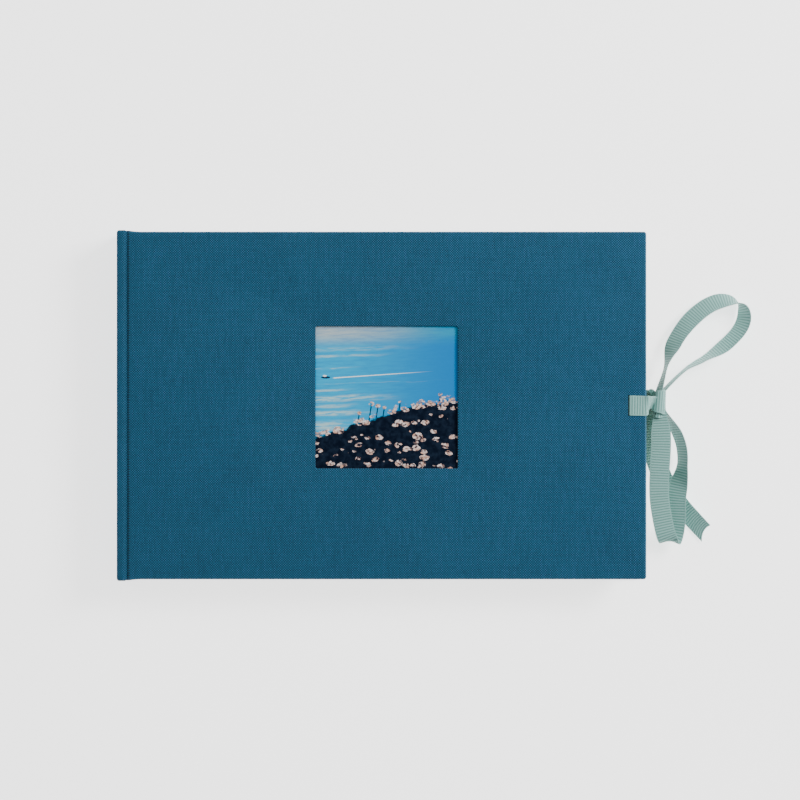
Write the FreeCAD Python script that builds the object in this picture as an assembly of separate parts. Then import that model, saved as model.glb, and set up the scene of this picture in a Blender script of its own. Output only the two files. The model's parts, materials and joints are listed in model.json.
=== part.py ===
import FreeCAD, Part
import math
import os

# A cloth-covered album, closed and lying on its back cover.
# The origin is the middle of the outer face of the back cover.
# X runs from the spine to the fore edge, Y from tail to head, Z out of the front cover.

os.makedirs("parts", exist_ok=True)

# Case
albumWidth = 240.0
coverHeight = 157.5
spineOverlength = 0.75
albumThickness = 22.0
clothThickness = 0.4
backBoardThickness = 2.2
upperBoardThickness = 1.2
baseBoardThickness = 1.0
turnInThickness = 0.3
turnInWidth = 15.0
pastedownThickness = 0.2
squareWidth = 3.5
cornerRadius = 1.2

# Spine and grooves
spineBoardThickness = 3.2
liningThickness = 0.4
grooveWidth = 1.3
grooveDepth = 1.8

# Window
windowSize = 65.0
windowCentreX = 2.3
windowCentreY = 3.7
printBorder = 2.5
printThickness = 0.25
fitClearance = 0.1

# Leaves
leafCount = 12
pageThickness = 0.4
interleafThickness = 0.08
interleafInset = 2.0
flyleafThickness = 0.3
stubThickness = 0.2
stubLength = 2.6
stubGap = 0.4
stackClearance = 0.1

# Ribbon
ribbonWidth = 9.0
ribbonThickness = 0.35
slotInset = 7.9
slotClearance = 0.2
anchorLength = 40.0
tieGap = 0.3
knotSize = (7.0, 12.0, 12.0)
knotStandoff = 5.2
knotCentreY = 1.6
knotBottom = 0.8
knotRounding = 2.2
loopBottom = 1.0
tailBottom = 0.2

# The routes of the free ribbon, seen from above, out of the knot and back into it.
# They are measured from the middle of the fore edge.
upperLoopRoute = [
    (7.2, 7.9), (9.3, 16.5), (13.2, 29.4), (22.5, 41.2), (33.5, 48.6), (45.0, 48.2),
    (47.6, 38.2), (37.5, 27.8), (26.6, 21.8), (17.0, 15.6), (8.2, 7.9),
]
lowerLoopRoute = [
    (7.8, -4.7), (7.9, -15.0), (6.9, -29.2), (6.7, -41.0), (7.6, -51.6), (8.2, -60.6),
    (15.8, -61.2), (17.4, -52.0), (17.0, -40.5), (19.2, -27.0), (15.8, -14.4), (8.6, -4.7),
]
tailRoute = [
    (5.4, -3.0), (5.0, -14.0), (6.4, -27.0), (11.4, -38.6), (19.4, -49.0), (29.0, -58.9),
]

# Places that follow from the sizes above
outerX = albumWidth / 2
halfCover = coverHeight / 2
halfSpine = halfCover + spineOverlength
spineInnerX = -outerX + clothThickness + spineBoardThickness
grooveEndX = spineInnerX + clothThickness + grooveWidth
boardStartX = grooveEndX + clothThickness
coverThickness = clothThickness + backBoardThickness + turnInThickness + pastedownThickness
boardEndX = outerX - clothThickness
halfBoard = halfCover - clothThickness
stackBottom = coverThickness
stackTop = albumThickness - (
    clothThickness + upperBoardThickness + baseBoardThickness + turnInThickness + pastedownThickness
)
stackMiddle = (stackBottom + stackTop) / 2
leafPitch = (stackTop - stackBottom - 2 * stackClearance) / leafCount
liningInnerX = spineInnerX + liningThickness
leafRootX = liningInnerX + stubLength + stubGap
leafEndX = outerX - squareWidth
halfLeaf = halfCover - squareWidth
knotCentreX = outerX + knotStandoff
knotSideX = knotCentreX - knotSize[0] / 2
slotX = outerX - slotInset
slotWidth = ribbonThickness + 2 * slotClearance
slotLength = ribbonWidth + 2 * slotClearance


def block(x0, x1, y0, y1, z0, z1):
    return Part.makeBox(x1 - x0, y1 - y0, z1 - z0, FreeCAD.Vector(x0, y0, z0))


def band(x0, x1, half, z0, z1):
    return block(x0, x1, -half, half, z0, z1)


def roundCorners(shape, x, half, radius):
    # the upright edges at a corner of an outline, and those at its mirror image
    edges = []
    for edge in shape.Edges:
        box = edge.BoundBox
        upright = box.XLength < 1e-6 and box.YLength < 1e-6
        if upright and abs(box.XMin - x) < 1e-6 and abs(abs(box.YMin) - half) < 1e-6:
            edges.append(edge)
    return shape.makeFillet(radius, edges)


def coverBoard(z0, z1):
    board = band(boardStartX, boardEndX, halfBoard, z0, z1)
    return roundCorners(board, boardEndX, halfBoard, cornerRadius - clothThickness)


def union(solids):
    return solids[0].multiFuse(solids[1:]).removeSplitter()


def save(node, shape):
    shape.exportStep("parts/" + node + ".step")


def flipped(shape):
    # the same shape for the other cover, turned over about the middle height
    middle = FreeCAD.Vector(0, 0, albumThickness / 2)
    return shape.mirror(middle, FreeCAD.Vector(0, 0, 1))


# One cover's cloth: the outer sheet, its three turned edges, the turn-ins inside,
# the strip over the spine's end and the channel pressed into the groove.
def coverCloth():
    turnTop = clothThickness + backBoardThickness + turnInThickness
    turnBottom = turnTop - turnInThickness
    walls = [
        band(boardStartX, outerX, halfCover, 0, clothThickness),
        band(boardEndX, outerX, halfCover, clothThickness, turnTop),
        band(outerX - turnInWidth, boardEndX, halfBoard, turnBottom, turnTop),
    ]
    for side in (-1, 1):
        near = side * halfBoard
        far = side * halfCover
        inner = side * (halfCover - turnInWidth)
        walls.append(block(boardStartX, boardEndX, min(near, far), max(near, far),
                           clothThickness, turnTop))
        walls.append(block(boardStartX, outerX - turnInWidth, min(near, inner), max(near, inner),
                           turnBottom, turnTop))
    channelTop = grooveDepth + clothThickness
    walls.append(band(-outerX, spineInnerX + clothThickness, halfSpine, 0, clothThickness))
    walls.append(band(spineInnerX, spineInnerX + clothThickness, halfSpine,
                      clothThickness, channelTop))
    walls.append(band(spineInnerX, boardStartX, halfCover, grooveDepth, channelTop))
    walls.append(band(grooveEndX, boardStartX, halfCover, 0, channelTop))
    cloth = roundCorners(union(walls), outerX, halfCover, cornerRadius)
    cloth = roundCorners(cloth, boardEndX, halfBoard, cornerRadius - clothThickness)
    return roundCorners(cloth, -outerX, halfSpine, cornerRadius)


def tieSlot():
    return band(slotX - slotWidth / 2, slotX + slotWidth / 2, slotLength / 2, 0, albumThickness)


def backCover():
    boardTop = clothThickness + backBoardThickness
    infillTop = boardTop + turnInThickness
    channel = band(slotX - anchorLength, outerX, slotLength / 2, infillTop, coverThickness)
    save("back_cover_cloth", coverCloth())
    save("back_board", coverBoard(clothThickness, boardTop))
    save("back_infill", band(boardStartX, outerX - turnInWidth, halfCover - turnInWidth,
                             boardTop, infillTop))
    pastedown = band(boardStartX, leafEndX, halfLeaf, infillTop, coverThickness)
    save("back_pastedown", pastedown.cut(channel))
    save("back_tie", band(slotX - anchorLength, knotSideX - tieGap,
                          ribbonWidth / 2, infillTop, infillTop + ribbonThickness))


def windowBox(size, z0, z1):
    half = size / 2
    return block(windowCentreX - half, windowCentreX + half,
                 windowCentreY - half, windowCentreY + half, z0, z1)


def frontCover():
    clothBottom = albumThickness - clothThickness
    upperBottom = clothBottom - upperBoardThickness
    baseBottom = upperBottom - baseBoardThickness
    infillBottom = baseBottom - turnInThickness
    printTop = upperBottom + printThickness
    printSize = windowSize + 2 * printBorder
    opening = windowBox(windowSize, printTop, albumThickness)
    boardOpening = windowBox(windowSize + 2 * clothThickness, upperBottom, clothBottom)
    turnedEdge = windowBox(windowSize + 2 * clothThickness, printTop, clothBottom)
    cloth = union([flipped(coverCloth()), turnedEdge]).cut(opening).cut(tieSlot())
    save("front_cover_cloth", cloth)
    upper = coverBoard(upperBottom, clothBottom)
    pocket = windowBox(printSize + 2 * fitClearance, upperBottom, printTop)
    save("front_board_upper", upper.cut(boardOpening).cut(pocket).cut(tieSlot()))
    save("window_print", windowBox(printSize, upperBottom, printTop))
    save("front_board_base", coverBoard(baseBottom, upperBottom).cut(tieSlot()))
    infill = band(boardStartX, outerX - turnInWidth, halfCover - turnInWidth,
                  infillBottom, baseBottom)
    save("front_infill", infill)
    pastedown = band(boardStartX, leafEndX, halfLeaf, stackTop, infillBottom)
    channel = band(slotX - anchorLength, leafEndX, slotLength / 2, stackTop, infillBottom)
    save("front_pastedown", pastedown.cut(channel))


def spine():
    spineBottom = clothThickness
    spineTop = albumThickness - clothThickness
    boardHalf = halfSpine - clothThickness
    sheet = band(-outerX, -outerX + clothThickness, halfSpine, spineBottom, spineTop)
    ends = [
        block(-outerX, spineInnerX, boardHalf, halfSpine, spineBottom, spineTop),
        block(-outerX, spineInnerX, -halfSpine, -boardHalf, spineBottom, spineTop),
    ]
    innerRadius = cornerRadius - clothThickness
    cloth = roundCorners(union([sheet] + ends), -outerX, halfSpine, cornerRadius)
    save("spine_cloth", roundCorners(cloth, -outerX + clothThickness, boardHalf, innerRadius))
    board = band(-outerX + clothThickness, spineInnerX, boardHalf, spineBottom, spineTop)
    save("spine_board", roundCorners(board, -outerX + clothThickness, boardHalf, innerRadius))
    save("spine_lining", band(spineInnerX, liningInnerX, halfLeaf,
                              stackBottom + fitClearance, stackTop - fitClearance))


def leafHeight(index):
    return stackMiddle + (index - (leafCount - 1) / 2) * leafPitch


# The folded guard: one stub behind each leaf, joined along the spine's lining.
def guardStubs():
    backing = stubThickness
    lowest = leafHeight(0) - stubThickness / 2
    highest = leafHeight(leafCount - 1) + stubThickness / 2
    solids = [band(liningInnerX, liningInnerX + backing, halfLeaf, lowest, highest)]
    for index in range(leafCount):
        middle = leafHeight(index)
        solids.append(band(liningInnerX, liningInnerX + stubLength, halfLeaf,
                           middle - stubThickness / 2, middle + stubThickness / 2))
    save("guard_stubs", union(solids))


def leaves():
    slab = pageThickness + interleafThickness
    for index in range(leafCount):
        bottom = leafHeight(index) - slab / 2
        if index == 0 or index == leafCount - 1:
            node = "back_flyleaf" if index == 0 else "front_flyleaf"
            save(node, band(leafRootX, leafEndX, halfLeaf, bottom, bottom + flyleafThickness))
            continue
        number = "%02d" % index
        save("page_" + number, band(leafRootX, leafEndX, halfLeaf, bottom,
                                    bottom + pageThickness))
        save("interleaf_" + number, band(leafRootX, leafEndX - interleafInset,
                                         halfLeaf - interleafInset,
                                         bottom + pageThickness, bottom + slab))


def unit(a, b):
    length = math.hypot(b[0] - a[0], b[1] - a[1])
    return ((b[0] - a[0]) / length, (b[1] - a[1]) / length)


# A route's rounded corners: for each inner point, the arc's centre, its radius,
# the side it turns to and the directions before and after it.
def corners(route, fixedRadius=None):
    found = []
    for index in range(1, len(route) - 1):
        before = unit(route[index - 1], route[index])
        after = unit(route[index], route[index + 1])
        turn = math.atan2(before[0] * after[1] - before[1] * after[0],
                          before[0] * after[0] + before[1] * after[1])
        shorter = min(math.dist(route[index - 1], route[index]),
                      math.dist(route[index], route[index + 1]))
        reach = 0.45 * shorter
        radius = reach / math.tan(abs(turn) / 2)
        if fixedRadius is not None:
            radius = fixedRadius
            reach = radius * math.tan(abs(turn) / 2)
        side = 1 if turn > 0 else -1
        start = (route[index][0] - before[0] * reach, route[index][1] - before[1] * reach)
        centre = (start[0] - before[1] * side * radius, start[1] + before[0] * side * radius)
        found.append((centre, radius, side, before, after))
    return found


# The edge of a ribbon that stands on its side along a route, at a distance to its left.
def ribbonEdge(route, offset, fixedRadius=None):
    before = unit(route[0], route[1])
    points = [(route[0][0] - before[1] * offset, route[0][1] + before[0] * offset)]
    middles = []
    for centre, radius, side, before, after in corners(route, fixedRadius):
        size = side * (radius - side * offset)
        half = unit((0, 0), (before[0] + after[0], before[1] + after[1]))
        for direction, kept in ((before, points), (half, middles), (after, points)):
            kept.append((centre[0] + direction[1] * size, centre[1] - direction[0] * size))
    after = unit(route[-2], route[-1])
    points.append((route[-1][0] - after[1] * offset, route[-1][1] + after[0] * offset))
    return points, middles


def edgeChain(points, middles, place):
    edges = []
    for index in range(0, len(points) - 1, 2):
        edges.append(Part.LineSegment(place(points[index]), place(points[index + 1])).toShape())
        if index // 2 < len(middles):
            edges.append(Part.Arc(place(points[index + 1]), place(middles[index // 2]),
                                  place(points[index + 2])).toShape())
    return edges


def ribbonSolid(route, thickness, place, depth, fixedRadius=None):
    left, leftMiddles = ribbonEdge(route, thickness / 2, fixedRadius)
    right, rightMiddles = ribbonEdge(route, -thickness / 2, fixedRadius)
    edges = edgeChain(left, leftMiddles, place) + edgeChain(right, rightMiddles, place)
    edges.append(Part.LineSegment(place(left[0]), place(right[0])).toShape())
    edges.append(Part.LineSegment(place(left[-1]), place(right[-1])).toShape())
    wire = Part.Wire(Part.__sortEdges__(edges))
    return Part.Face(wire).extrude(depth)


def routeLength(route, fixedRadius=None):
    length = sum(math.dist(a, b) for a, b in zip(route, route[1:]))
    for centre, radius, side, before, after in corners(route, fixedRadius):
        turn = math.acos(before[0] * after[0] + before[1] * after[1])
        length += radius * turn - 2 * radius * math.tan(turn / 2)
    return length


def bow():
    def onFloor(height):
        return lambda point: FreeCAD.Vector(point[0], point[1], height)

    routes = {
        "bow_upper_loop": (upperLoopRoute, ribbonThickness, loopBottom, ribbonWidth),
        "bow_lower_loop": (lowerLoopRoute, ribbonThickness, loopBottom, ribbonWidth),
        "bow_tail": (tailRoute, ribbonWidth, tailBottom, ribbonThickness),
    }
    for node, (fromForeEdge, across, bottom, tall) in routes.items():
        route = [(outerX + x, y) for x, y in fromForeEdge]
        solid = ribbonSolid(route, across, onFloor(bottom), FreeCAD.Vector(0, 0, tall))
        expected = routeLength(route) * across * tall
        radii = " ".join("%.0f" % corner[1] for corner in corners(route))
        print(node, "length %.1f" % routeLength(route), "radii", radii,
              "volume %.1f of %.1f" % (solid.Volume, expected))
        save(node, solid)

    knot = block(knotSideX, knotSideX + knotSize[0],
                 knotCentreY - knotSize[1] / 2, knotCentreY + knotSize[1] / 2,
                 knotBottom, knotBottom + knotSize[2])
    save("bow_knot", knot.makeFillet(knotRounding, knot.Edges))


# The front tie: from its glued end under the pastedown, out through the slot,
# over the front cover to the fore edge and down to the knot.
def frontTie():
    anchorHeight = stackTop + pastedownThickness - ribbonThickness / 2
    lyingHeight = albumThickness + ribbonThickness / 2
    dropX = outerX + tieGap + ribbonThickness / 2
    knotHeight = knotBottom + knotSize[2] - 2 * knotRounding
    profile = [
        (slotX - anchorLength, anchorHeight), (slotX, anchorHeight), (slotX, lyingHeight),
        (dropX, lyingHeight), (dropX, knotHeight), (knotSideX, knotHeight),
    ]

    def alongSide(point):
        return FreeCAD.Vector(point[0], -ribbonWidth / 2, point[1])

    save("front_tie", ribbonSolid(profile, ribbonThickness, alongSide,
                                  FreeCAD.Vector(0, ribbonWidth, 0), 0.4))


backCover()
spine()
frontCover()
guardStubs()
leaves()
frontTie()
bow()
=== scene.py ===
import json
import math
import bpy
import bmesh
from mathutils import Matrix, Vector


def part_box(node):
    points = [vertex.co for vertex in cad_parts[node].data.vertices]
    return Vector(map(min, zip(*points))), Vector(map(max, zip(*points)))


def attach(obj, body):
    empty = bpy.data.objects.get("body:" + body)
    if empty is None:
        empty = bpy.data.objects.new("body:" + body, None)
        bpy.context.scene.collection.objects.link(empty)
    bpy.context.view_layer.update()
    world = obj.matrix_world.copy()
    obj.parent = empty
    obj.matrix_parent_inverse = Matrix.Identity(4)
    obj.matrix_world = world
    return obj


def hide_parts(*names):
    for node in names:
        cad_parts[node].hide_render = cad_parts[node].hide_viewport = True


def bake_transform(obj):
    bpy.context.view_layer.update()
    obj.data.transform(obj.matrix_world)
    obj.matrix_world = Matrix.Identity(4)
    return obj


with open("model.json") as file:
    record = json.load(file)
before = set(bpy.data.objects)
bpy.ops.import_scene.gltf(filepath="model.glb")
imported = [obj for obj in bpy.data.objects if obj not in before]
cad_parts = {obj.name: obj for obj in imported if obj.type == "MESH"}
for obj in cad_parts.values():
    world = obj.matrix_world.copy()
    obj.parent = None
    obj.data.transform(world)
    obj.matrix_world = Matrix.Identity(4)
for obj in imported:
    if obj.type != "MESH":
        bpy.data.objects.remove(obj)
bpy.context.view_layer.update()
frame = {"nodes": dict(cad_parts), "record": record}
mm = 0.001

# The case as the frame gives it; everything below is placed from these.
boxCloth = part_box("front_cover_cloth")
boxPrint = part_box("window_print")
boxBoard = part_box("front_board_upper")
topZ = boxCloth[1][2]
foreX = boxCloth[1][0]
spineX = boxCloth[0][0]
spineHalf = boxCloth[1][1]
clothThick = 0.4 * mm
boardLeft = boxBoard[0][0] - clothThick
coverHalf = boxBoard[1][1] + clothThick
coverDepth = topZ - boxCloth[0][2]
printTop = boxPrint[1][2]
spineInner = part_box("spine_board")[1][0] + clothThick


class Num:
    # one value in a material, so that shader maths reads as plain sums
    def __init__(self, graph, socket):
        self.graph = graph
        self.socket = socket

    def __add__(self, other):
        return self.graph.math("ADD", self, other)

    def __radd__(self, other):
        return self.graph.math("ADD", other, self)

    def __sub__(self, other):
        return self.graph.math("SUBTRACT", self, other)

    def __rsub__(self, other):
        return self.graph.math("SUBTRACT", other, self)

    def __mul__(self, other):
        return self.graph.math("MULTIPLY", self, other)

    def __rmul__(self, other):
        return self.graph.math("MULTIPLY", other, self)

    def __truediv__(self, other):
        return self.graph.math("DIVIDE", self, other)

    def __pow__(self, other):
        return self.graph.math("POWER", self, other)

    def __gt__(self, other):
        return self.graph.math("GREATER_THAN", self, other)

    def __lt__(self, other):
        return self.graph.math("LESS_THAN", self, other)

    def floor(self):
        return self.graph.math("FLOOR", self)

    def fract(self):
        return self.graph.math("FRACT", self)

    def cos(self):
        return self.graph.math("COSINE", self)

    def abs(self):
        return self.graph.math("ABSOLUTE", self)

    def most(self, other):
        return self.graph.math("MAXIMUM", self, other)

    def rise(self, low, high):
        # 0 below low, 1 above high, smooth between
        settings = {"interpolation_type": "SMOOTHSTEP"}
        return self.graph.node("ShaderNodeMapRange", settings,
                               {"Value": self, "From Min": low, "From Max": high}, "Result")


class Graph:
    def __init__(self, name):
        self.material = bpy.data.materials.new(name)
        self.material.use_nodes = True
        self.tree = self.material.node_tree
        self.tree.nodes.clear()
        self.output = self.tree.nodes.new("ShaderNodeOutputMaterial")

    def feed(self, socket, item):
        if isinstance(item, Num):
            self.tree.links.new(item.socket, socket)
        else:
            socket.default_value = item

    def node(self, kind, settings, inputs, output):
        made = self.tree.nodes.new(kind)
        for key, value in settings.items():
            setattr(made, key, value)
        for key, value in inputs.items():
            self.feed(made.inputs[key], value)
        return Num(self, made.outputs[output])

    def math(self, operation, *items):
        return self.node("ShaderNodeMath", {"operation": operation}, dict(enumerate(items)), 0)

    def mix(self, factor, first, second, blend="MIX"):
        settings = {"data_type": "RGBA", "blend_type": blend}
        return self.node("ShaderNodeMix", settings, {0: factor, 6: first, 7: second}, 2)

    def objectPlace(self):
        return self.split(self.node("ShaderNodeTexCoord", {}, {}, "Object"))

    def uvPlace(self, name):
        return self.split(self.node("ShaderNodeUVMap", {"uv_map": name}, {}, "UV"))

    def split(self, vector):
        return [self.node("ShaderNodeSeparateXYZ", {}, {0: vector}, key) for key in "XYZ"]

    def join(self, x, y, z=0.0):
        return self.node("ShaderNodeCombineXYZ", {}, {0: x, 1: y, 2: z}, 0)

    def noise(self, vector, scale=1.0, detail=2.0, rough=0.5):
        inputs = {"Vector": vector, "Scale": scale, "Detail": detail, "Roughness": rough}
        return self.node("ShaderNodeTexNoise", {}, inputs, 0)

    def spots(self, vector, scale, feature="F1", output="Distance"):
        inputs = {"Vector": vector, "Scale": scale}
        return self.node("ShaderNodeTexVoronoi", {"feature": feature}, inputs, output)

    def bump(self, height, distance, strength=1.0):
        inputs = {"Height": height, "Distance": distance, "Strength": strength}
        return self.node("ShaderNodeBump", {}, inputs, 0)

    def finish(self, **sockets):
        shader = self.tree.nodes.new("ShaderNodeBsdfPrincipled")
        for key, value in sockets.items():
            self.feed(shader.inputs[key.replace("_", " ")], value)
        self.tree.links.new(shader.outputs[0], self.output.inputs[0])
        return self.material


def tone(red, green, blue):
    # a printed colour, as 0 to 255 shades, in the renderer's linear light
    shades = []
    for shade in (red, green, blue):
        part = shade / 255
        shades.append(part / 12.92 if part < 0.04045 else ((part + 0.055) / 1.055) ** 2.4)
    return (*shades, 1.0)


bookClothFinish = {
    "threadPitch": 0.56 * mm, "darkTone": tone(0, 34, 60), "lightTone": tone(42, 116, 153),
    "blueTone": tone(46, 112, 156),
    "gapShade": 0.36, "slubLength": 9 * mm, "relief": 0.04 * mm, "roughness": 0.8,
    # the lighter colour of the rubbed edges, which is also a painted highlight
    "wearHighlightTone": tone(96, 158, 184),
}


def makeBookCloth():
    f = bookClothFinish
    g = Graph("bookCloth")
    u, v = g.uvPlace("weave")[:2]
    across = u / f["threadPitch"]
    along = v / f["threadPitch"]
    # the upright threads are the lighter ones, and wander a little in tone along their length
    warpIndex = across.floor()
    weftIndex = along.floor()
    warpTone = g.noise(g.join(warpIndex * 3.7, v / f["slubLength"]), detail=3.0, rough=0.7)
    weftTone = g.noise(g.join(u / f["slubLength"], weftIndex * 3.7, 5.0), detail=3.0, rough=0.7)
    overUnder = ((warpIndex + weftIndex) * 0.5).fract() > 0.25
    threadTone = (warpTone * 0.9 + 0.4) * overUnder + (weftTone * 0.5 - 0.1) * (1 - overUnder)
    roundU = ((across.fract() - 0.5) * math.pi).cos()
    roundV = ((along.fract() - 0.5) * math.pi).cos()
    height = (roundU * roundV) ** 0.5
    cloud = g.noise(g.join(u, v), scale=40.0, detail=2.0)
    level = threadTone * 1.05 + cloud * 0.14 - 0.1
    # the edge mark is partly rubbed wear and partly a painted highlight on the rolled edges; it
    # also calms the weave's shading there
    wearAndHighlight = g.node("ShaderNodeAttribute", {"attribute_name": "wearAndHighlight"}, {}, "Fac")
    level = level * (1 - wearAndHighlight * 0.4) + wearAndHighlight * 0.2
    light = g.mix(warpTone.rise(0.45, 0.75), f["lightTone"], f["blueTone"])
    colour = g.mix(level, f["darkTone"], light)
    colour = g.mix(wearAndHighlight * 0.55, colour, f["wearHighlightTone"])
    shade = height * (1 - f["gapShade"]) + f["gapShade"]
    shade = shade + (1 - shade) * wearAndHighlight * 0.8
    colour = g.mix(1.0, colour, g.join(shade, shade, shade), "MULTIPLY")
    bumped = g.bump(height + threadTone * 0.6, f["relief"])
    return g.finish(Base_Color=colour, Roughness=f["roughness"], Normal=bumped,
                    Specular_IOR_Level=0.25, Sheen_Weight=0.08, Sheen_Roughness=0.5)


ribbonFinish = {
    # the ribbon's dark tone serves as painted shade in the grooves between the ribs
    "ribPitch": 1.2 * mm, "lightTone": tone(156, 202, 196), "grooveShadeTone": tone(86, 138, 130),
    "roughness": 0.55,
}


def makeRibbonCloth():
    f = ribbonFinish
    g = Graph("grosgrain")
    run, side = g.uvPlace("ribbon")[:2]
    rib = (run * (2 * math.pi / f["ribPitch"])).cos() * 0.5 + 0.5
    edge = ((side - 0.5).abs() * 2).rise(0.86, 0.93)
    crest = rib * (1 - edge) + edge * 0.7
    yarn = g.noise(g.join(run * 600, side * 40), detail=2.0)
    fine = (side * (2 * math.pi * 32)).cos() * 0.5 + 0.5
    # painted shade: the grooves between the ribs darker and the crests lighter, with the yarn's
    # real tone over it
    level = crest * 0.75 + yarn * 0.35 - 0.1
    colour = g.mix(level, f["grooveShadeTone"], f["lightTone"])
    bumped = g.bump(crest * 0.6 + fine * 0.25 + yarn * 0.15, 0.05 * mm)
    return g.finish(Base_Color=colour, Roughness=f["roughness"], Normal=bumped,
                    Specular_IOR_Level=0.35, Sheen_Weight=0.15, Sheen_Roughness=0.4)


paperFinish = {
    "pageCard": (tone(232, 228, 216), tone(214, 208, 194)),
    "endpaper": (tone(228, 226, 218), tone(212, 209, 200)),
    "liningPaper": (tone(205, 200, 188), tone(188, 182, 170)),
    "greyboard": (tone(150, 146, 138), tone(118, 114, 106)),
}


def makePaper(name, fibre=900.0, relief=0.02 * mm):
    light, dark = paperFinish[name]
    g = Graph(name)
    place = g.node("ShaderNodeTexCoord", {}, {}, "Object")
    grain = g.noise(place, scale=fibre, detail=4.0, rough=0.65)
    cloud = g.noise(place, scale=40.0, detail=2.0)
    level = grain * 0.6 + cloud * 0.4
    colour = g.mix(level.rise(0.3, 0.7), dark, light)
    bumped = g.bump(grain, relief)
    return g.finish(Base_Color=colour, Roughness=0.85, Normal=bumped, Specular_IOR_Level=0.2)


def makeGlassine():
    g = Graph("glassine")
    place = g.node("ShaderNodeTexCoord", {}, {}, "Object")
    web = g.spots(place, 260.0, "DISTANCE_TO_EDGE")
    veins = 1 - web.rise(0.0, 0.08)
    cloud = g.noise(place, scale=60.0, detail=3.0)
    colour = g.mix(cloud * 0.6 + veins * 0.4, tone(238, 238, 230), tone(222, 222, 212))
    return g.finish(Base_Color=colour, Roughness=0.35 + cloud * 0.15,
                    Alpha=0.62 + veins * 0.25, Normal=g.bump(veins, 0.02 * mm))


pictureFinish = {
    "windowSize": 65 * mm, "boatPlace": (0.075, 0.645), "hillLow": 0.21, "hillHigh": 0.47,
    "roughness": 0.5,
    # pale streaks on the water: height in the picture, thickness, reach to the right, strength
    "streaks": [
        (0.83, 0.02, 0.8, 0.4), (0.785, 0.014, 0.6, 0.7), (0.7, 0.008, 0.36, 0.6),
        (0.59, 0.006, 1.0, 0.25), (0.545, 0.012, 0.32, 0.7), (0.485, 0.03, 0.66, 0.9),
        (0.435, 0.02, 0.36, 0.7), (0.385, 0.026, 0.5, 0.9), (0.3, 0.05, 0.34, 0.8),
    ],
    # flowers that stand above the bank: how far along, how high, and the head's radius
    "tallFlowers": [
        (0.31, 0.39, 0.016), (0.395, 0.455, 0.02), (0.44, 0.44, 0.018), (0.485, 0.43, 0.014),
        (0.595, 0.465, 0.015), (0.745, 0.47, 0.022), (0.875, 0.52, 0.016), (0.89, 0.49, 0.02),
    ],
}


def addSea(g, px, py):
    f = pictureFinish
    sea = g.mix(px.rise(0.05, 1.0), tone(0, 174, 222), tone(0, 124, 194))
    haze = g.mix(px.rise(0.1, 0.95), tone(176, 192, 196), tone(20, 150, 190))
    view = g.mix((py - px * 0.02).rise(0.83, 0.95), sea, haze)
    drift = g.noise(g.join(px * 7, (py - px * 0.05) * 60, 7.0), detail=4.0, rough=0.65)
    wander = (g.noise(g.join(px * 5, py * 3, 2.0), detail=3.0) - 0.5) * 0.035
    view = g.mix(drift.rise(0.35, 0.7) * 0.4, view, tone(0, 122, 190))
    for height, thickness, reach, strength in f["streaks"]:
        line = ((py + wander - px * 0.03 - height).abs() / thickness).rise(1.0, 0.2)
        foam = line * (1 - (px / reach).rise(0.3, 1.0)) * drift.rise(0.38, 0.58) * strength
        view = g.mix(foam, view, tone(186, 216, 214))
    wakeWidth = 0.005 - px * 0.003
    wake = ((py - 0.626 - px * 0.068).abs() / wakeWidth).rise(1.1, 0.5) * px.rise(0.12, 0.14)
    wake = wake * (1 - px.rise(0.5, 0.85)) * drift.rise(0.2, 0.42)
    view = g.mix(wake, view, tone(240, 250, 250))
    bx, by = f["boatPlace"]
    hull = ((px - bx) / 0.032) ** 2.0 + ((py - by + 0.006) / 0.008) ** 2.0
    cabin = ((px - bx + 0.006) / 0.014) ** 2.0 + ((py - by - 0.005) / 0.006) ** 2.0
    view = g.mix(hull.rise(1.2, 0.8), view, tone(22, 44, 70))
    return g.mix(cabin.rise(1.2, 0.8), view, tone(248, 250, 248))


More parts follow.
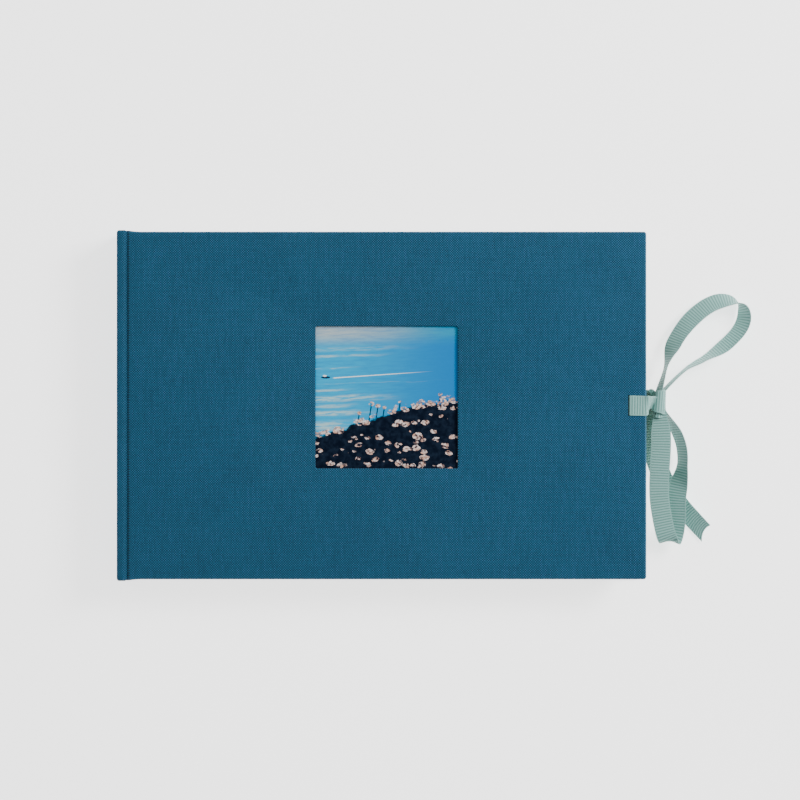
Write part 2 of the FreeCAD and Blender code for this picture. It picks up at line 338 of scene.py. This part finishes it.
def makePicture():
    # a seaside view: haze over a turquoise sea, a boat with its wake, a flowering bank
    f = pictureFinish
    g = Graph("printedPicture")
    x, y = g.objectPlace()[:2]
    centre = [(boxPrint[0][k] + boxPrint[1][k]) / 2 for k in range(2)]
    px = (x - centre[0]) / f["windowSize"] + 0.5
    py = (y - centre[1]) / f["windowSize"] + 0.5
    view = addSea(g, px, py)

    rough = g.noise(g.join(px, py, 1.0), scale=11.0, detail=5.0, rough=0.7)
    crest = f["hillLow"] + (f["hillHigh"] - f["hillLow"]) * px.rise(-0.2, 0.95)
    ground = (crest + (rough - 0.5) * 0.12 - py).rise(-0.006, 0.012)
    soilTone = g.noise(g.join(px, py, 2.0), scale=26.0, detail=3.0)
    soil = g.mix(soilTone.rise(0.35, 0.75), tone(2, 12, 30), tone(20, 34, 52))
    view = g.mix(ground, view, soil)
    for along, high, radius in f["tallFlowers"]:
        stem = ((px - along + (high - py) * 0.15).abs() / 0.004).rise(1.3, 0.6)
        stem = stem * (high - py).rise(0.0, 0.01) * (1 - ground)
        view = g.mix(stem, view, tone(4, 34, 62))

    # flower heads: clusters of small petals, thick along the crest and to the lower right
    wobble = g.node("ShaderNodeTexNoise", {}, {"Vector": g.join(px, py, 4.0), "Scale": 42.0}, 1)
    shifted = g.node("ShaderNodeVectorMath", {"operation": "MULTIPLY_ADD"},
                     {0: wobble, 1: (0.03, 0.03, 0.0), 2: g.join(px, py * 1.5)}, 0)
    heads = g.spots(shifted, 15.0)
    headSize = g.split(g.spots(shifted, 15.0, output="Color"))[0]
    petals = g.spots(shifted, 58.0)
    patch = g.noise(g.join(px, py, 9.0), scale=9.0, detail=2.0)
    nearCrest = ((crest + 0.01 - py).abs() / 0.075).rise(1.0, 0.2)
    corner = px.rise(0.35, 0.95) * py.rise(0.35, 0.1)
    size = 0.1 + headSize * 0.32 + patch.rise(0.4, 0.6) * 0.12 + nearCrest * 0.28 + corner * 0.14
    belt = (crest + 0.035 + (rough - 0.5) * 0.16 - py).rise(0.0, 0.02)
    bloom = (size - heads).rise(0.0, 0.06) * belt
    for along, high, radius in f["tallFlowers"]:
        spread = (((px - along) / radius) ** 2.0 + ((py - high) / (radius * 0.8)) ** 2.0)
        bloom = bloom.most(spread.rise(1.3, 0.6))
    bloom = bloom * petals.rise(0.78, 0.62)
    warm = g.noise(g.join(px, py, 6.0), scale=34.0, detail=1.0)
    petalTone = g.mix(warm.rise(0.4, 0.65), tone(240, 226, 220), tone(218, 170, 146))
    petalTone = g.mix(petals.rise(0.3, 0.75), petalTone, tone(120, 92, 90))
    view = g.mix(bloom, view, petalTone)
    return g.finish(Base_Color=view, Roughness=f["roughness"], Specular_IOR_Level=0.06)


finishes = {
    "cover_cloth": makeBookCloth(), "ribbon": makeRibbonCloth(), "print": makePicture(),
    "page_card": makePaper("pageCard"), "endpaper": makePaper("endpaper"),
    "lining_paper": makePaper("liningPaper"), "greyboard": makePaper("greyboard", 500.0),
    "glassine": makeGlassine(),
}
print("finishes made:", len(finishes))

for entry in frame["record"]["subparts"]:
    node = frame["nodes"][entry["node"]]
    node.data.materials.clear()
    node.data.materials.append(finishes[entry["material_slot"]])
print("finishes laid on the packed pieces")


def settle(piece):
    # turns what the modifiers make into the piece's own plain mesh
    graph = bpy.context.evaluated_depsgraph_get()
    mesh = bpy.data.meshes.new_from_object(piece.evaluated_get(graph))
    piece.modifiers.clear()
    piece.data = mesh


def pieceFrom(name, mesh, slot):
    piece = bpy.data.objects.new(name, mesh)
    bpy.context.scene.collection.objects.link(piece)
    mesh.materials.clear()
    mesh.materials.append(finishes[slot])
    return piece


def shadeSmooth(mesh, degrees=40):
    for face in mesh.polygons:
        face.use_smooth = True
    mesh.set_sharp_from_angle(angle=math.radians(degrees))


def meshFrom(name, work):
    # every face looks out: the face that lies furthest out along the spine side says which way
    bmesh.ops.recalc_face_normals(work, faces=work.faces)
    work.faces.ensure_lookup_table()
    upright = [face for face in work.faces if abs(face.normal.x) > 0.9]
    outermost = min(upright, key=lambda face: (face.calc_center_median().x, -face.calc_area()))
    if outermost.normal.x > 0:
        bmesh.ops.reverse_faces(work, faces=work.faces)
    mesh = bpy.data.meshes.new(name)
    work.to_mesh(mesh)
    work.free()
    return mesh


def addWeaveMap(mesh):
    # metres on the cloth, laid on from the side that each face looks to
    layer = mesh.uv_layers.new(name="weave")
    for face in mesh.polygons:
        sizes = [abs(part) for part in face.normal]
        side = sizes.index(max(sizes))
        for loop in face.loop_indices:
            x, y, z = mesh.vertices[mesh.loops[loop].vertex_index].co
            layer.data[loop].uv = ((z, y), (x, z), (x, y))[side]


def clothPiece(name, work, thickness):
    piece = pieceFrom(name, meshFrom(name, work), "cover_cloth")
    thicken = piece.modifiers.new("thicken", "SOLIDIFY")
    thicken.thickness = thickness
    thicken.offset = -1
    settle(piece)
    shadeSmooth(piece.data)
    addWeaveMap(piece.data)
    return piece


def addWearAndHighlight(mesh, outerX, outerY, reach):
    # threads rubbed lighter where the cloth turns over an outer edge, most along the fore edge,
    # with a painted highlight there that stands in for the light caught on the rolled edge
    layer = mesh.attributes.new("wearAndHighlight", "FLOAT", "POINT")
    for vert, item in zip(mesh.vertices, layer.data):
        down = min(abs(topZ - vert.co.z), abs(vert.co.z))
        side = math.hypot(outerX - abs(vert.co.x), down)
        end = math.hypot(outerY - abs(vert.co.y), down)
        item.value = max(0.0, 1 - side / reach, 0.35 * (1 - end / reach))


def roundedBox(x0, x1, y0, y1, radii, steps=6):
    # an outline, anticlockwise; radii go from the right head corner round by the left
    corners = ((x1, y1, -1, -1, 0), (x0, y1, 1, -1, 90), (x0, y0, 1, 1, 180), (x1, y0, -1, 1, 270))
    points = []
    for (x, y, sx, sy, start), radius in zip(corners, radii):
        cx, cy = x + sx * radius, y + sy * radius
        for step in range(steps + 1):
            angle = math.radians(start + 90 * step / steps)
            points.append((cx + radius * math.cos(angle), cy + radius * math.sin(angle)))
    return points


def ringAt(work, outline, z):
    return [work.verts.new((x, y, z)) for x, y in outline]


def bridge(work, first, second):
    count = len(first)
    for k in range(count):
        n = (k + 1) % count
        work.faces.new((first[k], first[n], second[n], second[k]))


def ringEdges(work, ring):
    return [work.edges.get((ring[k], ring[(k + 1) % len(ring)])) for k in range(len(ring))]


def roll(radius, steps=5):
    # how far in and how far down a rolled edge is, from its upright to its flat
    found = []
    for step in range(steps + 1):
        angle = math.radians(90 * step / steps)
        found.append((radius * (1 - math.cos(angle)), radius * (1 - math.sin(angle))))
    return found


coverCloth = {
    "edgeRoll": 0.8 * mm, "windowRoll": 0.5 * mm, "windowSize": 64.4 * mm, "cornerRadius": 1.2 * mm,
    "turnIn": 15 * mm, "slotSize": (0.75 * mm, 9.4 * mm), "slotInset": 7.9 * mm,
    "thickness": 0.25 * mm, "flare": 0.55 * mm, "flareLength": 6 * mm,
    "windowCorner": 0.8 * mm, "slotCorner": 0.2 * mm, "slotRoll": 0.25 * mm,
    "slotDepth": 1.6 * mm,
}


def makeCoverCloth(name, isFront):
    c = coverCloth
    work = bmesh.new()
    corner = c["cornerRadius"]

    def outline(left, rest):
        radii = (max(corner - rest, 0.2 * mm), 0.5 * mm, 0.5 * mm, max(corner - rest, 0.2 * mm))
        points = roundedBox(boardLeft + left, foreX - rest, -coverHalf + rest, coverHalf - rest,
                            radii)
        # the cloth is drawn out a little at head and tail where it runs onto the spine
        third = len(points) // 4
        extra = [c["flareLength"] * part for part in (1, 0.75, 0.5, 0.25)]
        head = [(boardLeft + gap, coverHalf - rest) for gap in extra]
        foot = [(boardLeft + gap, -coverHalf + rest) for gap in reversed(extra)]
        points = points[:third] + head + points[third:third * 3] + foot + points[third * 3:]
        drawn = []
        for x, y in points:
            near = max(0.0, 1 - (x - boardLeft) / c["flareLength"])
            out = c["flare"] * near ** 2 if abs(y) > coverHalf - 4 * mm else 0.0
            drawn.append((x, y + math.copysign(out, y)))
        return drawn

    inside = topZ - coverDepth
    rings = [(0.8 * mm, c["turnIn"], inside), (0.05 * mm, 0.3 * mm, inside)]
    rings.append((0, 0, inside + 0.3 * mm))
    rings += [(inset, inset, topZ - down) for inset, down in roll(c["edgeRoll"])]
    made = [ringAt(work, outline(left, rest), z) for left, rest, z in rings]
    for first, second in zip(made, made[1:]):
        bridge(work, first, second)
    rims = ringEdges(work, made[-1])

    def hole(cx, cy, sx, sy, radius, rolled, bottom):
        loops = []
        depths = [(out, topZ - down) for out, down in roll(rolled)][::-1]
        for out, z in depths + [(0, bottom)]:
            grown = roundedBox(cx - sx / 2 - out, cx + sx / 2 + out, cy - sy / 2 - out,
                               cy + sy / 2 + out, [radius + out] * 4)
            loops.append(ringAt(work, grown, z))
        for first, second in zip(loops, loops[1:]):
            bridge(work, second, first)
        return ringEdges(work, loops[0])

    if isFront:
        cx, cy = [(boxPrint[0][k] + boxPrint[1][k]) / 2 for k in range(2)]
        rims += hole(cx, cy, c["windowSize"], c["windowSize"], c["windowCorner"],
                     c["windowRoll"], printTop + 0.02 * mm)
        rims += hole(foreX - c["slotInset"], 0, c["slotSize"][0], c["slotSize"][1],
                     c["slotCorner"], c["slotRoll"], topZ - c["slotDepth"])
    bmesh.ops.triangle_fill(work, edges=rims, use_beauty=True)
    if not isFront:
        for vert in work.verts:
            vert.co.z = topZ - vert.co.z
    piece = clothPiece(name, work, c["thickness"])
    addWearAndHighlight(piece.data, foreX, coverHalf, c["edgeRoll"])
    return piece


frontCloth = makeCoverCloth("frontCoverCloth", True)
backCloth = makeCoverCloth("backCoverCloth", False)
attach(frontCloth, "front_cover")
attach(backCloth, "back_cover")
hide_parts("front_cover_cloth")
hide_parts("back_cover_cloth")
print("cover cloth laid")


spineCloth = {
    "sideRoll": 1.35 * mm, "downRoll": 0.9 * mm, "capDepth": 2.2 * mm, "grooveDepth": 1.15 * mm,
    "cornerRadius": 1.2 * mm, "panelInset": 0.05 * mm, "overlap": 0.45 * mm,
    "thickness": 0.2 * mm, "wearHighlightReach": 0.5 * mm,
}


def makeHingeCloth(name, isFront):
    s = spineCloth
    work = bmesh.new()

    def outline(inset):
        outer = max(s["cornerRadius"] - inset * 0.4, 0.5 * mm)
        inner = 0.35 * mm
        return roundedBox(spineX + inset, spineInner - inset, -spineHalf + inset,
                          spineHalf - inset, (inner, outer, outer, inner))

    rings = [(0, topZ - s["capDepth"])]
    for step in range(8):
        angle = math.radians(90 * step / 7)
        rings.append((s["sideRoll"] * (1 - math.cos(angle)),
                      topZ - s["downRoll"] * (1 - math.sin(angle))))
    made = [ringAt(work, outline(inset), z) for inset, z in rings]
    for first, second in zip(made, made[1:]):
        bridge(work, first, second)
    work.faces.new(made[-1])

    floor = topZ - s["grooveDepth"]
    width = boardLeft - spineInner
    rows = []
    for step in range(9):
        part = step / 8
        x = spineInner - 0.2 * mm + (width + 0.4 * mm) * part
        z = floor + 0.35 * mm * (2 * part - 1) ** 2
        rows.append([work.verts.new((x, side * (coverHalf + s["overlap"]), z)) for side in (-1, 1)])
    for first, second in zip(rows, rows[1:]):
        work.faces.new((first[0], second[0], second[1], first[1]))
    if not isFront:
        for vert in work.verts:
            vert.co.z = topZ - vert.co.z
    piece = clothPiece(name, work, s["thickness"])
    addWearAndHighlight(piece.data, -spineX, spineHalf, s["wearHighlightReach"])
    return piece


def makeSpinePanel():
    s = spineCloth
    inset = s["panelInset"]
    work = bmesh.new()
    low, high = 0.5 * mm, topZ - 0.5 * mm
    rings = [(0.3 * mm, low), (0, low + 0.3 * mm), (0, high - 0.3 * mm), (0.3 * mm, high)]
    made = []
    for extra, z in rings:
        gap = inset + extra
        outer = s["cornerRadius"] - extra
        made.append(ringAt(work, roundedBox(spineX + gap, spineInner - 0.35 * mm - extra,
                                            -spineHalf + gap, spineHalf - gap,
                                            (0.4 * mm, outer, outer, 0.4 * mm)), z))
    for first, second in zip(made, made[1:]):
        bridge(work, first, second)
    return clothPiece("spineCloth", work, s["thickness"])


spinePanel = makeSpinePanel()
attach(spinePanel, "spine")
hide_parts("spine_cloth")
frontHinge = makeHingeCloth("frontHingeCloth", True)
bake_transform(frontHinge)
backHinge = makeHingeCloth("backHingeCloth", False)
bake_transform(backHinge)
print("spine cloth laid")


ribbon = {
    "width": 9 * mm, "thickness": 0.3 * mm, "step": 0.16 * mm, "columns": 16,
    "ribPitch": 1.2 * mm, "ribHeight": 0.075 * mm, "selvedge": 0.1,
}


def makeRibTree():
    # raises ribs across a ribbon, from the metres run and the share across of each point
    tree = bpy.data.node_groups.new("grosgrainRibs", "GeometryNodeTree")
    face = tree.interface
    face.new_socket("Geometry", in_out="INPUT", socket_type="NodeSocketGeometry")
    for name in ("Rib Pitch", "Rib Height", "Selvedge"):
        face.new_socket(name, in_out="INPUT", socket_type="NodeSocketFloat")
    face.new_socket("Finish", in_out="INPUT", socket_type="NodeSocketMaterial")
    face.new_socket("Geometry", in_out="OUTPUT", socket_type="NodeSocketGeometry")
    entry = tree.nodes.new("NodeGroupInput")

    def named(name):
        node = tree.nodes.new("GeometryNodeInputNamedAttribute")
        node.data_type = "FLOAT"
        node.inputs["Name"].default_value = name
        return node.outputs["Attribute"]

    def reckon(operation, *items):
        node = tree.nodes.new("ShaderNodeMath")
        node.operation = operation
        for socket, item in zip(node.inputs, items):
            if isinstance(item, (int, float)):
                socket.default_value = item
            else:
                tree.links.new(item, socket)
        return node.outputs[0]

    turns = reckon("DIVIDE", named("run"), entry.outputs["Rib Pitch"])
    wave = reckon("COSINE", reckon("MULTIPLY", turns, 2 * math.pi))
    crest = reckon("POWER", reckon("ADD", reckon("MULTIPLY", wave, 0.5), 0.5), 0.7)
    fromEdge = reckon("SUBTRACT", 0.5, reckon("ABSOLUTE", reckon("SUBTRACT", named("side"), 0.5)))
    inner = reckon("DIVIDE", fromEdge, entry.outputs["Selvedge"])
    inner = reckon("MINIMUM", reckon("MULTIPLY", inner, 1.6), 1.0)
    height = reckon("MULTIPLY", reckon("MULTIPLY", crest, inner), entry.outputs["Rib Height"])
    push = tree.nodes.new("ShaderNodeVectorMath")
    push.operation = "SCALE"
    tree.links.new(tree.nodes.new("GeometryNodeInputNormal").outputs[0], push.inputs[0])
    tree.links.new(height, push.inputs["Scale"])
    move = tree.nodes.new("GeometryNodeSetPosition")
    tree.links.new(entry.outputs["Geometry"], move.inputs["Geometry"])
    tree.links.new(push.outputs[0], move.inputs["Offset"])
    real = tree.nodes.new("GeometryNodeRealizeInstances")
    tree.links.new(move.outputs[0], real.inputs[0])
    paint = tree.nodes.new("GeometryNodeSetMaterial")
    tree.links.new(real.outputs[0], paint.inputs["Geometry"])
    tree.links.new(entry.outputs["Finish"], paint.inputs["Material"])
    leave = tree.nodes.new("NodeGroupOutput")
    tree.links.new(paint.outputs[0], leave.inputs[0])
    return tree


ribTree = makeRibTree()


def setInput(modifier, name, value):
    for item in modifier.node_group.interface.items_tree:
        if item.name == name and item.in_out == "INPUT":
            modifier[item.identifier] = value


def smoothLine(points):
    # the NURBS line that a ribbon's middle follows
    curve = bpy.data.curves.new("line", "CURVE")
    curve.dimensions = "3D"
    spline = curve.splines.new("NURBS")
    spline.points.add(len(points) - 1)
    for target, point in zip(spline.points, points):
        target.co = (*point, 1)
    spline.order_u = 3
    spline.use_endpoint_u = True
    spline.resolution_u = 24
    holder = bpy.data.objects.new("line", curve)
    bpy.context.scene.collection.objects.link(holder)
    graph = bpy.context.evaluated_depsgraph_get()
    mesh = bpy.data.meshes.new_from_object(holder.evaluated_get(graph))
    line = [vert.co.copy() for vert in mesh.vertices]
    bpy.data.objects.remove(holder)
    bpy.data.meshes.remove(mesh)
    return line


def evenLine(line, step):
    lengths = [0.0]
    for a, b in zip(line, line[1:]):
        lengths.append(lengths[-1] + (b - a).length)
    count = max(2, round(lengths[-1] / step))
    places, k = [], 0
    for n in range(count + 1):
        want = lengths[-1] * n / count
        while k < len(line) - 2 and lengths[k + 1] < want:
            k += 1
        part = (want - lengths[k]) / max(lengths[k + 1] - lengths[k], 1e-9)
        places.append(line[k].lerp(line[k + 1], min(max(part, 0), 1)))
    return places, lengths[-1]


def makeRibbonStrip(route, acrosses, widths=None, cut=None):
    # a ribbon's mesh along a route: acrosses tell which way its width points at each route point
    r = ribbon
    line = smoothLine([Vector(point) for point in route])
    places, length = evenLine(line, r["step"])
    knots = []
    for point in route:
        gaps = [(place - Vector(point)).length for place in places]
        knots.append(gaps.index(min(gaps)))
    knots[0], knots[-1] = 0, len(places) - 1
    work = bmesh.new()
    runLayer = work.verts.layers.float.new("run")
    sideLayer = work.verts.layers.float.new("side")
    rows = []
    segment = 0
    for n, place in enumerate(places):
        while segment < len(knots) - 2 and n > knots[segment + 1]:
            segment += 1
        span = max(knots[segment + 1] - knots[segment], 1)
        part = min(max((n - knots[segment]) / span, 0), 1)
        part = part * part * (3 - 2 * part)
        ahead = places[min(n + 1, len(places) - 1)]
        behind = places[max(n - 1, 0)]
        tangent = (ahead - behind).normalized()
        across = Vector(acrosses[segment]).lerp(Vector(acrosses[segment + 1]), part)
        across = (across - across.dot(tangent) * tangent).normalized()
        share = 1.0
        if widths:
            share = widths[segment] + (widths[segment + 1] - widths[segment]) * part
        row = []
        for column in range(r["columns"] + 1):
            side = column / r["columns"]
            shift = cut(side) if cut else 0.0
            spot = place + across * (side - 0.5) * r["width"] * share
            spot = spot - tangent * shift * (n / (len(places) - 1)) ** 8
            vert = work.verts.new(spot)
            vert[runLayer] = length * n / (len(places) - 1)
            vert[sideLayer] = side
            row.append(vert)
        rows.append(row)
    uvLayer = work.loops.layers.uv.new("ribbon")
    for first, second in zip(rows, rows[1:]):
        for k in range(r["columns"]):
            face = work.faces.new((first[k], second[k], second[k + 1], first[k + 1]))
            for loop in face.loops:
                loop[uvLayer].uv = (loop.vert[runLayer], loop.vert[sideLayer])
    mesh = bpy.data.meshes.new("ribbon")
    work.to_mesh(mesh)
    work.free()
    return mesh, line, length


def finishRibbon(name, mesh):
    r = ribbon
    piece = pieceFrom(name, mesh, "ribbon")
    ribs = piece.modifiers.new("ribs", "NODES")
    ribs.node_group = ribTree
    setInput(ribs, "Rib Pitch", r["ribPitch"])
    setInput(ribs, "Rib Height", r["ribHeight"])
    setInput(ribs, "Selvedge", r["selvedge"])
    setInput(ribs, "Finish", finishes["ribbon"])
    thicken = piece.modifiers.new("thicken", "SOLIDIFY")
    thicken.thickness = r["thickness"]
    thicken.offset = 0
    settle(piece)
    shadeSmooth(piece.data, 60)
    return piece


# Points are millimetres from the middle of the fore edge, with the height above the floor.
upperLoop = {
    "route": [
        (6.2, 4.8, 11.4), (9.8, 16.8, 9.2), (13.6, 29.2, 7.6), (22.8, 41.2, 6.4),
        (34.0, 48.6, 5.6), (45.4, 48.2, 5.0), (47.2, 38.0, 4.8), (38.4, 27.6, 5.0),
        (27.0, 20.8, 5.6), (17.0, 15.6, 7.2), (7.6, 5.4, 10.4),
    ],
    "across": [
        (0.3, -0.1, 0.9), (0.08, -0.05, 1.0), (0.62, -0.34, 0.72), (0.64, -0.5, 0.56),
        (0.6, -0.6, 0.6), (0.5, -0.42, 0.75), (0.56, -0.36, 0.74), (0.46, -0.44, 0.78),
        (0.14, -0.2, 0.97), (0.05, -0.08, 1.0), (0.15, -0.1, 1.0),
    ],
    "width": [0.75, 0.85] + [1.0] * 7 + [0.85, 0.7],
}
lowerLoop = {
    "route": [
        (6.8, -0.4, 12.2), (8.0, -14.0, 11.6), (7.0, -29.2, 11.4), (6.6, -41.0, 10.8),
        (8.2, -51.6, 10.2), (10.6, -61.6, 9.4), (13.4, -62.6, 5.6), (15.2, -53.0, 5.8),
        (15.0, -40.5, 6.2), (18.8, -26.0, 6.4), (16.2, -12.4, 7.4), (8.4, -1.0, 9.6),
    ],
    "across": [
        (0.9, 0.0, 0.1), (1.0, 0.0, 0.05), (1.0, 0.0, 0.02), (1.0, 0.0, 0.0),
        (1.0, 0.0, 0.0), (1.0, -0.05, 0.0), (1.0, -0.02, 0.05), (0.93, 0.0, 0.3),
        (0.93, 0.0, 0.33), (0.42, 0.0, 0.9), (0.45, 0.0, 0.9), (0.1, 0.0, 1.0),
    ],
    "width": [0.6] + [1.0] * 10 + [0.6],
}
tail = {
    "route": [
        (4.0, -1.0, 6.4), (3.0, -13.0, 4.0), (6.2, -26.0, 1.3), (11.6, -38.8, 1.1),
        (19.4, -48.6, 2.6), (29.2, -58.9, 2.9),
    ],
    "across": [
        (0.9, 0.0, 0.4), (1.0, 0.0, 0.3), (1.0, 0.2, 0.05), (0.8, 0.6, 0.0),
        (0.66, 0.5, 0.42), (0.66, 0.5, 0.46),
    ],
    "notch": 1.5 * mm,
}


def fromForeEdge(points):
    return [(foreX + x * mm, y * mm, z * mm) for x, y, z in points]


def makeFreeRibbon(name, parts, cadNode, cut=None):
    mesh, line, length = makeRibbonStrip(fromForeEdge(parts["route"]), parts["across"],
                                         parts.get("width"), cut)
    piece = finishRibbon(name, mesh)
    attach(piece, "front_cover")
    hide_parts(cadNode)
    print(name, "length mm", round(length / mm, 1))
    return piece, line, length


def tailCut(side):
    # a slanting cut, a little hollow in the middle
    return (side - 0.5) * 3.2 * mm + (1 - (2 * side - 1) ** 2) * tail["notch"]


upperRibbon, upperLine, upperLength = makeFreeRibbon("upperLoop", upperLoop, "bow_upper_loop")
lowerRibbon, lowerLine, lowerLength = makeFreeRibbon("lowerLoop", lowerLoop, "bow_lower_loop")
tailRibbon, tailLine, tailLength = makeFreeRibbon("bowTail", tail, "bow_tail", tailCut)


knot = {
    "wrap": {
        "route": [
            (3.4, 2.2, 5.0), (2.8, 2.2, 9.0), (3.8, 2.0, 13.6), (6.4, 1.8, 15.2),
            (9.2, 1.6, 13.8), (9.9, 1.4, 9.0), (9.0, 1.4, 4.6), (6.4, 1.8, 2.6), (3.6, 2.2, 3.8),
        ],
        "across": [
            (0.1, 1, 0), (0.1, 1, 0.1), (0.2, 1, 0.1), (0.14, 1, 0),
            (0.05, 1, 0), (0.0, 1, 0), (0.1, 1, 0), (0.1, 1, 0), (0.1, 1, 0),
        ],
        "width": [0.9, 0.9, 1.0, 1.12, 1.25, 1.2, 1.1, 1.0, 0.9],
    },
    "peak": {
        "route": [(1.4, 0.0, 7.0), (1.8, 3.8, 10.6), (2.6, 6.6, 12.0), (4.4, 5.0, 11.4)],
        "across": [(1, 0, 0.3), (1, -0.2, 0.3), (0.8, 0.5, 0.4), (0.4, 0.8, 0.4)],
        "width": [0.5, 0.5, 0.45, 0.3],
    },
    "fold": {
        "route": [(2.8, -2.6, 9.5), (4.4, -3.9, 13.0), (7.2, -4.4, 13.6), (9.6, -3.6, 10.4)],
        "across": [(0.1, 1, 0.3), (0.1, 1, 0.1), (0.0, 1, -0.1), (-0.1, 1, 0.2)],
        "width": [0.3, 0.32, 0.34, 0.26],
    },
}
frontTie = {
    "route": [
        (-47.9, 0.0, -3.1), (-22.0, 0.0, -3.12), (-9.2, 0.0, -3.1), (-7.8, 0.0, -2.9),
        (-7.8, 0.0, -0.6), (-7.6, 0.0, 0.3), (-4.0, -0.05, 0.32), (-1.2, -0.15, 0.35),
        (0.9, 0.0, 0.1), (2.0, 0.8, -3.4), (3.2, 1.4, -7.2), (5.0, 1.6, -8.6),
    ],
    "across": [
        (0, 1, 0), (0, 1, 0), (0, 1, 0), (0, 1, 0), (0, 1, 0), (0, 1, 0), (0, 1, 0),
        (0, 1, 0.02), (0.1, 1, 0.12), (0.3, 1, 0.35), (0.3, 1, 0.5), (0.2, 1, 0.6),
    ],
    "width": [1, 1, 1, 1, 1, 1, 1, 1, 0.97, 0.82, 0.7, 0.6],
}
backTie = {
    "route": [
        (-47.9, 0, 3.08), (-20, 0, 3.1), (-3.0, 0, 3.1), (0.6, 0, 3.1), (1.3, 0, 3.12),
    ],
    "across": [(0, 1, 0)] * 5,
}


def joined(name, meshes):
    work = bmesh.new()
    for mesh in meshes:
        work.from_mesh(mesh)
    mesh = bpy.data.meshes.new(name)
    work.to_mesh(mesh)
    work.free()
    return mesh


knotStrips = [makeRibbonStrip(fromForeEdge(part["route"]), part["across"], part["width"])[0]
              for part in knot.values()]
bowKnot = finishRibbon("bowKnot", joined("bowKnot", knotStrips))
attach(bowKnot, "front_cover")
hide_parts("bow_knot")

tieRoute = [(foreX + x * mm, y * mm, topZ + z * mm) for x, y, z in frontTie["route"]]
tieStrip = makeRibbonStrip(tieRoute, frontTie["across"], frontTie["width"])[0]
frontStrap = finishRibbon("frontTie", tieStrip)
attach(frontStrap, "front_cover")
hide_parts("front_tie")
backStrip = makeRibbonStrip(fromForeEdge(backTie["route"]), backTie["across"])[0]
backStrap = finishRibbon("backTie", backStrip)
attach(backStrap, "back_cover")
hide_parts("back_tie")
print("knot and ties made")


stage = {
    "cameraHeight": 1.2, "viewWidth": 362.24 * mm, "aim": (8.38 * mm, 2.49 * mm),
    "keyPlace": (0.95, 0.5, 0.85), "keySize": 0.5, "keyPower": 21.0,
    "fillPlace": (-0.8, 0.5, 1.0), "fillSize": 0.9, "fillPower": 2.0,
    "ambient": 0.5, "floorGlow": 2.0,
}


def makeFloorFinish():
    g = Graph("paleFloor")
    return g.finish(Base_Color=(0.95, 0.95, 0.95, 1.0), Roughness=0.9, Specular_IOR_Level=0.1,
                    Emission_Color=(1.0, 1.0, 1.0, 1.0), Emission_Strength=stage["floorGlow"])


work = bmesh.new()
bmesh.ops.create_grid(work, x_segments=1, y_segments=1, size=3.0)
floorMesh = bpy.data.meshes.new("floor")
work.to_mesh(floorMesh)
work.free()
floorMesh.materials.append(makeFloorFinish())
floorPiece = bpy.data.objects.new("floor", floorMesh)
floorPiece.location = (0, 0, -0.0002)
bpy.context.scene.collection.objects.link(floorPiece)


def addLight(name, place, size, power):
    # a square lamp that looks at the album's middle
    lamp = bpy.data.lights.new(name, "AREA")
    lamp.size = size
    lamp.energy = power
    holder = bpy.data.objects.new(name, lamp)
    holder.location = place
    holder.rotation_euler = (-Vector(place)).to_track_quat("-Z", "Y").to_euler()
    bpy.context.scene.collection.objects.link(holder)


addLight("keyLight", stage["keyPlace"], stage["keySize"], stage["keyPower"])
addLight("fillLight", stage["fillPlace"], stage["fillSize"], stage["fillPower"])
world = bpy.data.worlds.new("studio")
world.use_nodes = True
world.node_tree.nodes["Background"].inputs[0].default_value = (1, 1, 1, 1)
world.node_tree.nodes["Background"].inputs[1].default_value = stage["ambient"]
bpy.context.scene.world = world

camera = bpy.data.objects.new("camera", bpy.data.cameras.new("camera"))
camera.location = (*stage["aim"], topZ + stage["cameraHeight"])
camera.data.sensor_width = 36
camera.data.lens = stage["cameraHeight"] * camera.data.sensor_width / stage["viewWidth"]
camera.data.clip_end = 20
bpy.context.scene.collection.objects.link(camera)
bpy.context.scene.camera = camera
print("stage set")
